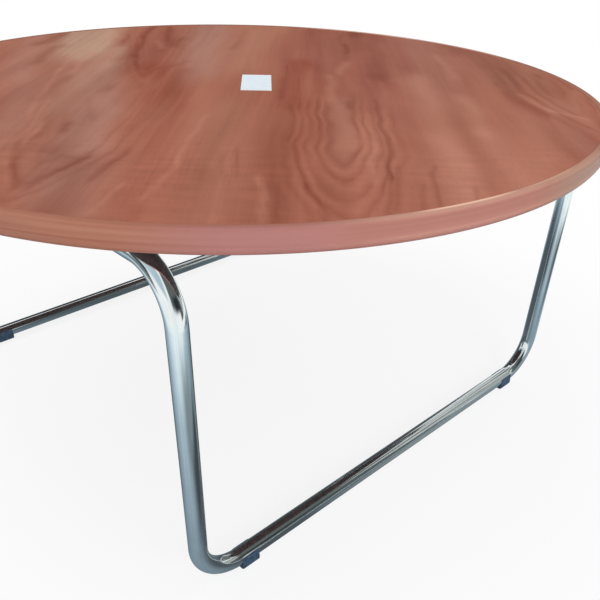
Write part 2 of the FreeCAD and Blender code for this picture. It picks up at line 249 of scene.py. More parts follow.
def ramp(tree, value, *stops):
    """Colours along a number; a stop is a position, and a hex value or a linear grey level."""
    node = add(tree, "ValToRGB", {"Fac": value})
    elements = node.color_ramp.elements
    for index, (position, shade) in enumerate(stops):
        element = elements[index] if index < 2 else elements.new(position)
        element.position = position
        element.color = colour(shade) if isinstance(shade, str) else (shade, shade, shade, 1.0)
    return node.outputs[0]


# Sockets of the Mix node in colour mode
BLEND, FIRST, SECOND, MIXED = 0, 6, 7, 2


def blend(tree, below, amount, above, kind="MIX"):
    """One colour laid over another."""
    return add(tree, "Mix", {BLEND: amount, FIRST: below, SECOND: above},
               data_type="RGBA", blend_type=kind).outputs[MIXED]


def bump(tree, height, strength, depth):
    """A surface direction that follows a fine relief; its depth is in metres."""
    return add(tree, "Bump", {"Height": height, "Strength": strength,
                              "Distance": depth}).outputs[0]


# The grain runs at 135 degrees to X, so a turn by -45 degrees puts it along Y
GRAIN_TURN = math.radians(-45.0)


def wood_decor():
    """High-pressure laminate with a printed pear-wood decor, pressed to a satin face.

    The eye sees broad tan, mauve and red drifts along the grain, nested rings with thin dark
    late wood, streaks from 60 mm down to 1 mm wide, short pores and a soft sheen. A pale mauve
    drift over the far end of the top is a painted sheen.
    """
    material, tree, place = new_material("satin_pear_wood_laminate")

    def cells(vector, width, length, detail=2.0):
        """Noise whose cells are width across the grain and length along it, in millimetres."""
        scaled = mapping(tree, vector, Location=(width, 0, 0), Scale=(1 / width, 1 / length, 1))
        return noise(tree, scaled, 1, detail, 0.55)

    grain = mapping(tree, place, Rotation=(0, 0, GRAIN_TURN), Scale=(1 / MM, 1 / MM, 1 / MM))
    drift, figure, lines = [parts(tree, stored(tree, name))
                            for name in ("drift", "figure", "lines")]

    # The fibres wander sideways by a few millimetres over a hand's length
    fibre = mapping(tree, grain, Scale=(1 / 90, 1 / 260, 1))
    fibre = add(tree, "TexNoise", {"Vector": fibre, "Scale": 1, "Detail": 1}).outputs["Color"]
    for operation, value in (("SUBTRACT", (0.5, 0.5, 0.5)), ("MULTIPLY", (20, 0, 0)),
                             ("ADD", grain)):
        fibre = add(tree, "VectorMath", {0: fibre, 1: value}, operation=operation).outputs[0]

    # Drifts of colour, drawn out into fibres where they end
    ragged = reckon(tree, "MULTIPLY_ADD", cells(fibre, 7, 160, 3), 0.9, 0.55)
    base = colour("#A3634F")
    for amount, shade in ((drift["X"], "#BA957F"), (drift["Y"], "#AC7B6B"), (drift["Z"], "#8F4938"),
                          (lines["Z"], "#8D5641")):
        amount = reckon(tree, "MULTIPLY", amount, ragged, clamp=True)
        base = blend(tree, base, amount, colour(shade))

    # Streaks of falling width, each (width, length, pull); the fine ones come and go in patches
    patch = reckon(tree, "MULTIPLY_ADD", cells(grain, 90, 200), 3.6, -1.2, clamp=True)
    tone = reckon(tree, "MULTIPLY_ADD", figure["Z"], -0.5, 0.5)
    for width, length, pull, patchy in ((75, 700, 0.9, 0), (24, 420, 0.32, 0), (9, 330, 0.14, 1),
                                        (3.6, 210, 0.12, 1), (1.4, 90, 0.09, 1)):
        off = reckon(tree, "SUBTRACT", cells(fibre, width, length), 0.5)
        if patchy:
            off = reckon(tree, "MULTIPLY", off, patch)
        tone = reckon(tree, "MULTIPLY_ADD", off, pull, tone)
    darker = reckon(tree, "MULTIPLY_ADD", tone, -2.0, 1.0, clamp=True)
    lighter = reckon(tree, "MULTIPLY_ADD", tone, 2.0, -1.0, clamp=True)
    base = blend(tree, base, darker, colour("#C4ADA6"), "MULTIPLY")
    base = blend(tree, base, lighter, colour("#BB8168"))

    # Rings: pale early wood runs into dark late wood, which ends sharply
    phase = reckon(tree, "MULTIPLY_ADD", cells(grain, 24, 80, 3), 0.5, figure["X"])
    ring = reckon(tree, "FRACT", reckon(tree, "SUBTRACT", phase, 0.2))
    late = ramp(tree, ring, (0.0, 0.25), (1.0, 0.25), (0.1, 0.0), (0.6, 0.1), (0.88, 1.0),
                (0.95, 0.7))
    early = ramp(tree, ring, (0.05, 0.0), (0.65, 0.0), (0.3, 1.0))
    shown = reckon(tree, "MULTIPLY_ADD", cells(grain, 30, 55), 2.4, -0.4)
    shown = reckon(tree, "MULTIPLY", figure["Y"], shown)
    for amount, pull, shade in ((early, 0.5, "#B9785F"), (late, 0.75, "#823F2B")):
        amount = reckon(tree, "MULTIPLY", amount, shown)
        amount = reckon(tree, "MULTIPLY", amount, pull, clamp=True)
        base = blend(tree, base, amount, colour(shade))
    base = blend(tree, base, lines["X"], colour("#BC806A"))
    base = blend(tree, base, lines["Y"], colour("#783A29"))

    # Pores: short dark dashes, drawn 1 mm wide where real ones are 0.2 mm, so that they show
    pores = remap(tree, cells(fibre, 1.1, 17, 0), (0.66, 0.8), (0.0, 0.13))
    base = blend(tree, base, pores, colour("#5E2F22"))

    # A faint ripple across the grain in the front third, as patches of bands about 12 mm apart
    front = remap(tree, parts(tree, grain)["Y"], (-150, -300), (0.15, 1.0))
    patch = reckon(tree, "MULTIPLY_ADD", cells(grain, 70, 90, 1), 3.0, -0.9, clamp=True)
    front = reckon(tree, "MULTIPLY", front, patch)
    ripple = remap(tree, cells(grain, 45, 12, 1), (0.3, 0.7), (-0.06, 0.06))
    ripple = reckon(tree, "MULTIPLY_ADD", ripple, front, 1.0)
    base = blend(tree, base, 1.0, ripple, "MULTIPLY")

    press = bump(tree, noise(tree, grain, 0.7), 0.12, 0.00005)
    sheen = remap(tree, tone, (0.2, 0.8), (0.56, 0.48))
    return principled(material, {"Base Color": base, "Roughness": sheen, "Normal": press,
                                 "IOR": 1.45, "Specular IOR Level": 0.1})


def edge_band():
    """Extruded moulding in a printed wood colour, calendered smooth and a little glossy.

    The eye sees pinker wood than on the face, fine streaks that follow the rim, and a darker line
    where the lower rounding starts. Painted shade darkens the lower rounding and paints its
    underside brown, and a painted highlight pales the lip and land beside the face in places.
    """
    material, tree, place = new_material("printed_edge_moulding")
    rim, cast = [parts(tree, stored(tree, name)) for name in ("rim", "cast")]
    flat = parts(tree, place)
    along = add(tree, "CombineXYZ", {0: flat["X"], 1: flat["Y"], 2: rim["X"]}).outputs[0]
    tone = 0.5
    for width, length, pull in ((8.0, 0.5, 0.5), (2.6, 0.32, 0.25), (1.0, 0.2, 0.15)):
        streaks = mapping(tree, along, Location=(width, 0, 0),
                          Scale=(1 / length, 1 / length, 1 / width))
        off = reckon(tree, "SUBTRACT", noise(tree, streaks, 1), 0.5)
        tone = reckon(tree, "MULTIPLY_ADD", off, pull, tone)
    base = ramp(tree, tone, (0.2, "#824D3A"), (0.8, "#BC876F"), (0.5, "#A06651"))
    # Over the print: pink and grey casts, the darker line with painted shade past it, a painted
    # highlight on lip and land, and a painted brown shadow underneath
    for amount, shade in ((cast["X"], "#A7716C"), (cast["Y"], "#94796A"), (rim["Y"], "#784438"),
                          (rim["Z"], "#F4C6AC"), (cast["Z"], "#3C2723")):
        base = blend(tree, base, amount, colour(shade))
    return principled(material, {"Base Color": base, "Roughness": 0.46, "IOR": 1.5,
                                 "Specular IOR Level": 0.25})


def chrome(name, drawn):
    """Bright chrome plate on polished steel.

    The eye sees a clear mirror with a cool cast and wiped smears. On a tube, fine polishing
    lines run along it; they read the "run" attribute, which turns with the bends.
    """
    material, tree, place = new_material(name)
    smears = noise(tree, place, 26, 4, 0.6)
    rough = remap(tree, smears, (0.35, 0.7), (0.07, 0.14))
    base = ramp(tree, smears, (0.3, "#F4F9F9"), (0.75, "#E6EDEE"))
    if drawn:
        run = mapping(tree, stored(tree, "run"), Scale=(0.7, 0.7, 1 / 160))
        relief = noise(tree, run, 1, 3)
        worn = remap(tree, relief, (0.35, 0.65), (0.88, 1.0))
        base = blend(tree, base, 1.0, worn, "MULTIPLY")
    else:
        relief = noise(tree, place, 42, 1)
    polish = bump(tree, relief, 0.12, 0.0002)
    return principled(material, {"Base Color": base, "Metallic": 1.0, "Roughness": rough,
                                 "Normal": polish})


def cut_steel():
    """Drawn mild steel with an oily grey skin, as inside the crossbar joints."""
    material, tree, place = new_material("drawn_steel")
    lines = noise(tree, mapping(tree, place, Scale=(12, 1400, 1400)), 1)
    base = ramp(tree, lines, (0.3, "#6E6E6C"), (0.7, "#96958F"))
    return principled(material, {"Base Color": base, "Metallic": 1.0, "Roughness": 0.42})


def particleboard():
    """Pressed wood chips, pale and mottled, seen only in the hairline gap beside the moulding."""
    material, tree, place = new_material("particleboard_chips")
    flat = mapping(tree, place, Scale=(420, 420, 1100))
    chips = add(tree, "TexVoronoi", {"Vector": flat, "Scale": 1}).outputs["Color"]
    base = ramp(tree, chips, (0.2, "#8E6E4B"), (0.8, "#CDB088"))
    return principled(material, {"Base Color": base, "Roughness": 0.85})


def mottled(name, scale, detail, stops, rough, relief=None, **inputs):
    """A plain finish: one noise mottles its colour, and its roughness where that is a pair.

    A relief is a strength and a depth in metres, and follows the same noise unless it goes on
    with a scale and a detail of its own.
    """
    material, tree, place = new_material(name)
    mottle = noise(tree, place, scale, detail)
    inputs["Base Color"] = ramp(tree, mottle, *stops)
    if isinstance(rough, tuple):
        rough = remap(tree, mottle, (0.3, 0.7), rough)
    inputs["Roughness"] = rough
    if relief:
        strength, depth, *grain = relief
        height = noise(tree, place, *grain) if grain else mottle
        inputs["Normal"] = bump(tree, height, strength, depth)
    return principled(material, inputs)


FINISHES = {
    "wood_decor": wood_decor(),
    "edge_moulding": edge_band(),
    # Kraft backing laminate, dark brown and matt, with the faint mottle of its sanded paper
    "backing_laminate": mottled("kraft_backing_laminate", 90, 5,
                                ((0.3, "#3E2A27"), (0.7, "#4E3733")), 0.7, (0.3, 0.0001)),
    "chrome": chrome("bright_chrome_plate", False),
    "drawn_chrome": chrome("chromed_drawn_tube", True),
    "plain_steel": cut_steel(),
    # Bright zinc-plated screw steel with the slight yellow and blue cast of its passivation
    "zinc_screw": mottled("zinc_plated_steel", 210, 2, ((0.35, "#C9C7B4"), (0.65, "#B4BBC4")),
                          (0.22, 0.38), Metallic=1.0),
    "particleboard": particleboard(),
    # Injection-moulded polyethylene, dark blue, satin with scuffs and a fine spark-eroded grain
    "glide_plastic": mottled("dark_blue_polyethylene", 160, 4,
                             ((0.35, "#2B3C50"), (0.72, "#465F7A")), (0.3, 0.48),
                             (0.3, 0.00004, 2600, 1), IOR=1.51),
    # Coated label paper, cool white and smooth, with the faint cloud of its fibres
    "paper": mottled("coated_label_paper", 240, 3, ((0.3, "#DCE8F0"), (0.7, "#E9F3F8")), 0.5,
                     (0.2, 0.00003)),
}


# The figure of the wood, in grain coordinates: s across the grain, v along it, in millimetres

# Slow sideways waves of the grain: swing, length along, length across, start
WAVES = ((2.0, 210, 340, 2.1), (1.2, 118, 160, 4.0), (0.8, 61, 95, 1.2))

# Nested rings, as those round a knot or a dip of the log: axis (s) and base (v) of the tips, lean
# of the axis, length of a tip per half width, squareness of the tips, spread above the base, the
# place above which the rings fade out, and each ring's half width with its strength
NESTS = (
    (130, -232, 0.0, 4.2, 1.75, 0.0, -70, ((18, 0.8), (27, 0.5), (38, 0.35), (47, 0.6), (60, 0.2))),
    (-133, 130, -0.13, 5.0, 1.3, 0.09, 500, ((6, 0.1), (14, 0.2), (24, 0.2), (36, 0.1))),
    (-138, -290, 0.0, 2.5, 1.3, 0.1, -190, ((15, 0.25), (34, 0.5), (50, 0.3))),
    (404, 20, 0.0, 4.6, 1.15, 0.0, 130, ((14, 0.3), (28, 0.5), (44, 0.4), (60, 0.2))),
)

# Soft bands of colour: upper end (s, v), lower end (s, v), bow, half width, strength
TAN = (
    (-272, 400, -252, 200, 0, 42, 1.0),
    (-300, 340, -285, 250, 0, 16, 0.5),
    (-240, 320, -226, 130, 0, 16, 0.5),
    (-186, 190, -176, -10, 0, 17, 0.6),
    (-182, 60, -174, -130, 0, 20, 0.3),
    (-232, 160, -190, -260, 0, 34, 0.25),
    (262, 380, 258, -60, 0, 34, 0.1),
    (0, 380, -5, 120, 0, 28, 0.2),
    (0, -110, 20, -400, 0, 30, 0.15),
)
MAUVE = (
    (130, -70, 131, -270, 0, 14, 0.3),
    (-85, 400, -60, 60, 0, 32, 0.85),
    (-188, 30, -128, -200, 10, 32, 0.85),
    (-124, -200, -112, -330, 0, 38, 0.6),
    (-112, -330, -80, -430, 0, 34, 0.5),
    (-350, 330, -290, 20, 0, 32, 0.65),
    (-255, -20, -215, -200, 0, 22, 0.55),
    (392, -60, 380, -210, 0, 22, 0.35),
    # Painted sheen: a pale mauve veil over the far end of the top
    (-90, 430, -90, 270, 0, 100, 0.2),
    (90, 420, 92, 110, 0, 45, 0.22),
)
RED = (
    (-182, 210, -178, 130, 0, 12, 0.35),
    (192, 420, 190, 20, 0, 19, 0.3),
    (158, 420, 162, 130, 0, 18, 0.15),
    (162, 60, 166, -130, 0, 17, 0.3),
    (228, 400, 226, 130, 0, 16, 0.3),
    (344, 310, 348, 160, 0, 24, 0.3),
    (-102, -70, -92, -200, 0, 16, 0.5),
    (-175, 400, -162, 230, 0, 30, 0.2),
    (-214, 390, -200, 230, 0, 8, 0.35),
    (-190, 400, -165, 150, -2, 9, 0.4),
    (-165, 150, -138, 70, 0, 12, 0.2),
    (-160, 400, -122, 250, -3, 12, 0.4),
    (-131, 225, -126, 110, 0, 25, 0.35),
    (-125, 90, -122, 60, 0, 20, 0.3),
    (-108, 50, -84, -60, 0, 26, 0.45),
    (-84, 30, -72, -260, 6, 28, 0.5),
    (76, 130, 78, -90, 0, 17, 0.75),
    (58, 110, 60, -60, 0, 5, 0.4),
    (88, 400, 84, 140, 0, 28, 0.5),
    (146, 400, 152, 120, 0, 22, 0.2),
    (104, 110, 106, -10, 0, 16, 0.4),
    (198, 20, 196, -220, 0, 16, 0.35),
    (45, 330, 50, 180, 0, 18, 0.15),
    (95, -80, 92, -240, 0, 14, 0.3),
    (-48, -120, -40, -420, 0, 14, 0.4),
    (70, -200, 72, -430, 0, 14, 0.15),
    (342, 0, 362, -95, 0, 9, 0.7),
    (385, -125, 392, -190, 0, 10, 0.5),
)
BROWN = (
    (-117, 290, -118, 240, 0, 9, 0.7),
    (-24, 390, -29, 230, 0, 6, 0.5),
    (352, 310, 352, 90, 0, 32, 0.6),
    (395, 230, 400, 30, 0, 26, 0.65),
    (350, 90, 350, 0, 0, 16, 0.5),
    (-312, 300, -318, 220, 0, 11, 0.7),
    (-288, 190, -282, 90, 0, 10, 0.5),
    (-76, 60, -70, -160, 0, 10, 0.4),
    (150, -40, 146, -110, 0, 8, 0.3),
    (140, -75, 140, -98, 0, 6, 0.35),
    (142, 300, 143, 190, 0, 9, 0.5),
)
# Where the printed shade is deeper all over
SHADE = (
    (191, 430, 190, 80, 0, 21, 0.75),
    (192, 50, 194, -120, 0, 15, 0.2),
    (162, 440, 160, 380, 0, 16, 0.5),
    (160, 380, 160, 260, 0, 16, 0.2),
    (300, 380, 312, 260, 0, 20, 0.5),
    (118, 420, 118, 120, 0, 24, 0.15),
    (92, 400, 92, 60, 0, 20, 0.15),
    (162, 20, 166, -90, 0, 15, 0.3),
    (242, 400, 242, 110, 0, 30, 0.3),
    (342, 330, 346, 170, 0, 30, 0.3),
    (-98, -335, -92, -440, 0, 26, 0.8),
    (0, -340, 4, -440, 0, 20, 0.35),
    (115, -370, 118, -440, 0, 20, 0.3),
    (-140, -170, -136, -330, 0, 20, 0.4),
    (-215, 0, -213, -100, 0, 10, 0.3),
)
PALE_LINES = (
    (228, -220, 226, -430, 0, 22, 0.4),
    (236, 60, 240, -400, 0, 16, 0.35),
    (280, -40, 281, -170, 0, 13, 0.45),
    (280, -200, 285, -360, 0, 18, 0.5),
    (338, -110, 334, -250, 0, 18, 0.35),
    (283, 220, 286, 80, 0, 9, 0.3),
    (118, 60, 119, -60, 0, 7, 0.35),
    (130, -90, 131, -230, 0, 12, 0.3),
    (141, 145, 134, 85, 0, 7, 0.35),
    (-150, 262, -137, 218, 0, 6, 0.28),
    (-17, -150, -24, -300, 0, 3, 0.38),
    (-24, -300, -31, -390, 0, 3, 0.35),
    (-182, -200, -168, -320, 0, 3, 0.4),
    (355, -10, 377, -79, 0, 5, 0.35),
    (377, -79, 408, -108, 0, 5, 0.35),
    (430, 20, 404, -100, 0, 4, 0.35),
    (-246, 170, -240, 50, 0, 3, 0.3),
    (-240, 50, -202, -175, 0, 3, 0.35),
    (-199, -110, -188, -251, 0, 2.5, 0.35),
    (-224, 160, -220, 40, 0, 5, 0.4),
    (-56, -366, -66, -423, 0, 2.5, 0.35),
    (54, -340, 65, -430, 0, 4, 0.4),
    (158, -230, 156, -330, 0, 4, 0.35),
)
# Late wood beside the nests, and marks where a fibre or a bud was torn
DARK_LINES = (
    (-204, 300, -202, 250, 0, 4, 0.3),
    (-186, 390, -177, 294, 0, 4, 0.4),
    (-177, 294, -162, 150, 0, 4, 0.35),
    (-161, 145, -136, 74, -3, 4, 0.4),
    (-158, 395, -134, 280, -3, 5, 0.4),
    (-82, 120, -108, 80, 0, 8, 0.22),
    (-152, -36, -152, -48, 0, 8, 0.25),
    (-117, -18, -117, -30, 0, 7, 0.25),
    (172, -60, 172, -320, 0, 2.2, 0.55),
    (172, -320, 161, -410, 0, 2.2, 0.45),
    (180, -300, 169, -395, 0, 1.8, 0.3),
    (76, -100, 77, -220, 0, 2.5, 0.3),
    (77, -220, 97, -354, 0, 2.5, 0.3),
    (97, -354, 112, -430, 0, 3, 0.45),
    (29, -263, 34, -322, 0, 2, 0.3),
    (18, -285, 21, -335, 0, 2, 0.25),
    (69, -365, 75, -433, 0, 2.5, 0.35),
    (197, -345, 190, -394, 0, 2, 0.35),
    (211, -297, 206, -381, 0, 2.2, 0.4),
    (243, -349, 239, -368, 0, 2, 0.35),
    (140, -74, 141, -90, 0, 5, 0.35),
    (-180, -262, -141, -376, -3, 4, 0.4),
    (-104, -298, -130, -374, 0, 3.5, 0.5),
    (-140, -288, -118, -298, 0, 14, 0.25),
    (-77, -280, -84, -350, 0, 3.5, 0.4),
    (-162, -95, -130, -175, 0, 4, 0.12),
    (145, 285, 144, 225, 0, 4, 0.6),
    (138, 372, 138, 330, 0, 3, 0.35),
    (-153, -196, -153, -216, 0, 6, 0.5),
    (408, 112, 406, 96, 0, 4, 0.45),
    (338, 56, 338, 40, 0, 4, 0.35),
    (367, 137, 366, 118, 0, 6, 0.35),
    (190, 72, 190, 50, 0, 3, 0.35),
)


def wavy(s, v):
    """The place across the grain once the slow waves are added: s + sum of swing * sin."""
    for swing, length, width, start in WAVES:
        s = s + swing * np.sin(2.0 * math.pi * (v / length + s / width) + start)
    return s


def bands(s, v, table):
    """Soft bands added up: strength * exp(-((s - centre) / width)^2), rounded off at both ends.

    The centre runs from end to end with t = 0..1 as a straight line plus bow * 4 t (1 - t).
    """
    total = np.zeros_like(s)
    for upper_s, upper_v, lower_s, lower_v, bow, width, strength in table:
        t = (upper_v - v) / (upper_v - lower_v)
        inside = np.clip(t, 0.0, 1.0)
        centre = upper_s + (lower_s - upper_s) * inside + bow * 4.0 * inside * (1.0 - inside)
        beyond = (t - inside) * (upper_v - lower_v) / max(12.0, 2.0 * width)
        total += strength * np.exp(-((s - centre) / width) ** 2 - beyond ** 2)
    return np.clip(total, 0.0, 1.0)


def ring_field(s, v):
    """Ring number and line strength of the nest whose rings are strongest at each place.

    A ring of half width w is the curve |across|^p + (below / k)^p = w^p, where below is the
    way under the base of the tips, so its sides run on straight above the base.
    """
    number, power = np.zeros_like(s), np.zeros_like(s)
    for axis, base, lean, k, p, spread, top, rings in NESTS:
        above = v - base
        across = np.abs(s - axis - lean * above)
        below = 0.5 * (np.hypot(above, 8.0) - above) / k
        size = (across ** p + below ** p) ** (1.0 / p) - spread * np.maximum(above, 0.0)
        places = [0.0] + [ring[0] for ring in rings] + [2.0 * rings[-1][0] - rings[-2][0]]
        strengths = [0.0] + [ring[1] for ring in rings] + [0.0]
        count = np.interp(size, places, np.arange(len(places)))
        shown = np.interp(count, np.arange(len(places)), strengths)
        shown = shown * np.clip((top + 60.0 - v) / 120.0, 0.0, 1.0)
        number = np.where(shown > power, count, number)
        power = np.maximum(power, shown)
    return number, power


# The top

def make_top_sheet():
    """A disc with a rounded rim: a profile from the middle out, over the edge and back below."""
    flat_radius = SHEET_RADIUS - SHEET_EDGE_ROUND
    rim = arc((flat_radius, SHEET_TOP - SHEET_EDGE_ROUND), SHEET_EDGE_ROUND, 90, 0, 5)
    flat = np.stack([np.linspace(1.0, flat_radius, SHEET_ROWS),
                     np.full(SHEET_ROWS, SHEET_TOP)], -1)
    below = np.array([(SHEET_RADIUS, SHEET_BASE), (300.0, SHEET_BASE), (1.0, SHEET_BASE)])
    profile = np.concatenate([flat, rim[1:], below])
    points = turned(profile, SHEET_TURNS)
    poles = [(0.0, 0.0, SHEET_TOP), (0.0, 0.0, SHEET_BASE)]
    count = len(profile) * SHEET_TURNS
    ring = np.arange(SHEET_TURNS)
    faces = [face[::-1] for face in grid_faces(len(profile), SHEET_TURNS, wrap_columns=True)]
    faces += fan_faces(ring, count)
    faces += fan_faces(ring + count - SHEET_TURNS, count + 1, forward=False)
    points = np.concatenate([points.reshape(-1, 3), poles])
    sheet = make_piece("top_decor_sheet", points, faces, FINISHES["wood_decor"],
                       ["top_laminate"])
    s = (points[:, 0] + points[:, 1]) / math.sqrt(2.0)
    v = (points[:, 1] - points[:, 0]) / math.sqrt(2.0)
    s = wavy(s, v)
    add_attribute(sheet, "figure", np.stack([*ring_field(s, v), bands(s, v, SHADE)], -1))
    for name, tables in (("drift", (TAN, MAUVE, RED)), ("lines", (PALE_LINES, DARK_LINES, BROWN))):
        add_attribute(sheet, name, np.stack([bands(s, v, table) for table in tables], -1))
    return sheet


def patches(bearing, table):
    """Patches round the rim: strength * exp(-(apart / spread)^4) in degrees; the largest shows."""
    shown = np.zeros_like(bearing)
    for middle, spread, strength in table:
        apart = (bearing - middle + 180.0) % 360.0 - 180.0
        shown = np.maximum(shown, strength * np.exp(-(apart / spread) ** 4))
    return shown


def make_edge_band():
    """A closed rounded profile carried round the rim.

    Its "rim" attribute holds the way along the profile, the darker line at the start of the
    lower rounding with painted shade on the rounding past it, and a painted highlight on the lip
    and land beside the face and on a strip low on the face. Its "cast" attribute holds how pink
    and how grey the print is, and how far the painted brown shadow on the underside has begun.
    """
    outer_top = arc((BAND_RADIUS - BAND_TOP_ROUND, TABLE_HEIGHT - BAND_TOP_ROUND),
                    BAND_TOP_ROUND, 90, 0, 13)
    outer_base = arc((BAND_RADIUS - BAND_BASE_ROUND, UNDERSIDE + BAND_BASE_ROUND),
                     BAND_BASE_ROUND, 0, -90, 19)
    inner_lip = arc((BAND_INNER_RADIUS + BAND_LIP_ROUND, TABLE_HEIGHT - BAND_LIP_ROUND),
                    BAND_LIP_ROUND, 180, 90, 5)
    land = np.linspace(inner_lip[-1], outer_top[0], 6)[1:-1]
    middle = np.linspace(outer_top[-1], outer_base[0], 12)[1:-1]
    profile = np.concatenate([inner_lip, land, outer_top, middle, outer_base])
    points = turned(profile, BAND_TURNS)
    faces = grid_faces(len(profile), BAND_TURNS, wrap_rows=True, wrap_columns=True)
    band = make_piece("edge_band", points, [face[::-1] for face in faces],
                      FINISHES["edge_moulding"], ["edge_moulding"])
    steps = np.linalg.norm(np.diff(profile, axis=0), axis=1)
    girth, bearing = np.meshgrid(np.concatenate([[0.0], np.cumsum(steps)]),
                                 np.linspace(0.0, 360.0, BAND_TURNS, endpoint=False),
                                 indexing="ij")
    wobble = 0.5 * np.sin(np.radians(bearing * 5 + 40)) + 0.3 * np.sin(np.radians(bearing * 13))
    line = np.exp(-((profile[:, 1:] - BAND_LINE_HEIGHT - wobble) / BAND_LINE_WIDTH) ** 2)
    line = line * (0.08 + patches(bearing, ((310, 16, 0.14), (60, 30, 0.3), (190, 40, 0.3))))
    line = np.maximum(line, 0.2 * np.exp(-(girth / 3.0) ** 2))
    # Painted shade: the lower rounding darkens further round its profile, and its underside turns
    # to a painted brown shadow
    line = np.maximum(line, np.clip((girth - BAND_SHADE_GIRTH) / 4.0, 0.0, 1.0))
    below = np.clip((girth - BAND_SHADOW_GIRTH) / 2.5, 0.0, 1.0)
    # Painted highlight: a pale lip beside the face, a paler land, and a pale strip low on the face
    lip = patches(bearing, ((346.5, 7, 0.9), (0, 7, 0.4), (110, 14, 0.9), (215, 10, 0.8)))
    lip = lip * np.exp(-((girth - 2.4) / 2.0) ** 2)
    land = patches(bearing, ((347, 15, 0.27), (5, 10, 0.2), (90, 16, 0.25), (225, 12, 0.2)))
    land = land * (np.exp(-((girth - 5.0) / 4.8) ** 4) + 0.4 * np.exp(-((girth - 25.0) / 3.5) ** 2))
    painted_highlight = np.maximum(lip, land)
    add_attribute(band, "rim", np.stack([girth, line, painted_highlight], -1).reshape(-1, 3))
    pink = patches(bearing, ((340, 21, 0.6), (324, 11, 0.9), (110, 30, 0.5), (200, 25, 0.4)))
    grey = patches(bearing, ((11, 12, 0.75), (150, 16, 0.5), (250, 13, 0.4)))
    pink, grey = pink * np.clip(girth / 8.0, 0.3, 1.0), grey * np.clip(girth / 10.0, 0.0, 1.0)
    add_attribute(band, "cast", np.stack([pink, grey, below], -1).reshape(-1, 3))
    return band


def make_label():
    """A thin sheet of paper, as a grid with a wall round it."""
    rows, columns = 9, 17
    u, w = np.meshgrid(np.linspace(-0.5, 0.5, columns), np.linspace(-0.5, 0.5, rows))
    across, along = w * LABEL_SIZE[1], u * LABEL_SIZE[0]
    x = LABEL_CENTRE[0] + along * math.cos(LABEL_TURN) - across * math.sin(LABEL_TURN)
    y = LABEL_CENTRE[1] + along * math.sin(LABEL_TURN) + across * math.cos(LABEL_TURN)
    base = SHEET_TOP + LABEL_GAP
    top = np.stack([x, y, np.full_like(x, base + LABEL_THICKNESS)], -1).reshape(-1, 3)
    below = np.stack([x, y, np.full_like(x, base)], -1).reshape(-1, 3)
    index = np.arange(rows * columns).reshape(rows, columns)
    edge = np.concatenate([index[0], index[1:, -1], index[-1, -2::-1], index[-2:0:-1, 0]])
    following = np.roll(edge, -1)
    count = rows * columns
    faces = grid_faces(rows, columns)
    faces += [[n + count for n in face[::-1]] for face in grid_faces(rows, columns)]
    faces += np.stack([following, edge, edge + count, following + count], -1).tolist()
    return make_piece("paper_label", np.concatenate([top, below]), faces, FINISHES["paper"])


# The base

def tube_path(side):
    """Stations along one half frame: each has a place, and two directions square to the run.

    Straight runs join bends that turn the two directions with the tube, so that it never twists.
    """
    sled, near = side * SLED_REACH, side * HALF_JOINT_GAP
    corners = np.array([
        (near, -LEG_REACH, CROSSBAR_HEIGHT), (sled, -LEG_REACH, CROSSBAR_HEIGHT),
        (sled, -LEG_REACH, BAR_HEIGHT), (sled, LEG_REACH, BAR_HEIGHT),
        (sled, LEG_REACH, CROSSBAR_HEIGHT), (near, LEG_REACH, CROSSBAR_HEIGHT)])
    radii = (TOP_BEND_RADIUS, BASE_BEND_RADIUS, BASE_BEND_RADIUS, TOP_BEND_RADIUS)
    runs = np.diff(corners, axis=0)
    runs /= np.linalg.norm(runs, axis=1, keepdims=True)
    first = np.array([0.0, 0.0, 1.0])
    places, firsts, seconds = [corners[0]], [first], [np.cross(runs[0], first)]
    for index, radius in enumerate(radii):
        before, after = runs[index], runs[index + 1]
        first, second = firsts[-1], seconds[-1]
        start = corners[index + 1] - before * radius
        middle = start + after * radius
        angle = np.linspace(0.0, math.pi / 2.0, BEND_STATIONS)[:, None]
        places += list(middle - after * radius * np.cos(angle) + before * radius * np.sin(angle))
        for rows, direction in ((firsts, first), (seconds, second)):
            ahead = direction @ before
            inward = direction @ after
            level = direction - ahead * before - inward * after
            rows += list(level + (ahead * np.cos(angle) - inward * np.sin(angle)) * before
                         + (ahead * np.sin(angle) + inward * np.cos(angle)) * after)
    places.append(corners[-1])
    firsts.append(firsts[-1])
    seconds.append(seconds[-1])
    return np.array(places), np.array(firsts), np.array(seconds)


def make_tube_frame(name, side):
    """A circle carried along the half frame, outside and inside, and joined at both ends.

    Its "run" attribute holds the place round the tube and the way along it, in millimetres.
    """
    places, firsts, seconds = tube_path(side)
    angle = np.linspace(0.0, 2.0 * math.pi, TUBE_TURNS, endpoint=False)[None, :, None]
    spokes = np.cos(angle) * firsts[:, None] + np.sin(angle) * seconds[:, None]
    outer = places[:, None] + TUBE_RADIUS * spokes
    bore = places[:, None] + TUBE_BORE_RADIUS * spokes
    points = np.concatenate([outer, bore[::-1]])
    faces = grid_faces(len(points), points.shape[1], wrap_rows=True, wrap_columns=True)
    tube = make_piece(f"{name}_bent_tube", points, faces, FINISHES["drawn_chrome"],
                      [f"{name}_frame_tube"])
    steps = np.linalg.norm(np.diff(places, axis=0), axis=1)
    way = np.concatenate([[0.0], np.cumsum(steps)])
    way = np.concatenate([way, way[::-1]])[:, None, None]
    turn = np.concatenate([np.cos(angle), np.sin(angle)], -1) * TUBE_RADIUS
    run = np.concatenate([np.broadcast_to(turn, (*points.shape[:2], 2)),
                          np.broadcast_to(way, (*points.shape[:2], 1))], -1)
    add_attribute(tube, "run", run.reshape(-1, 3))
    return tube


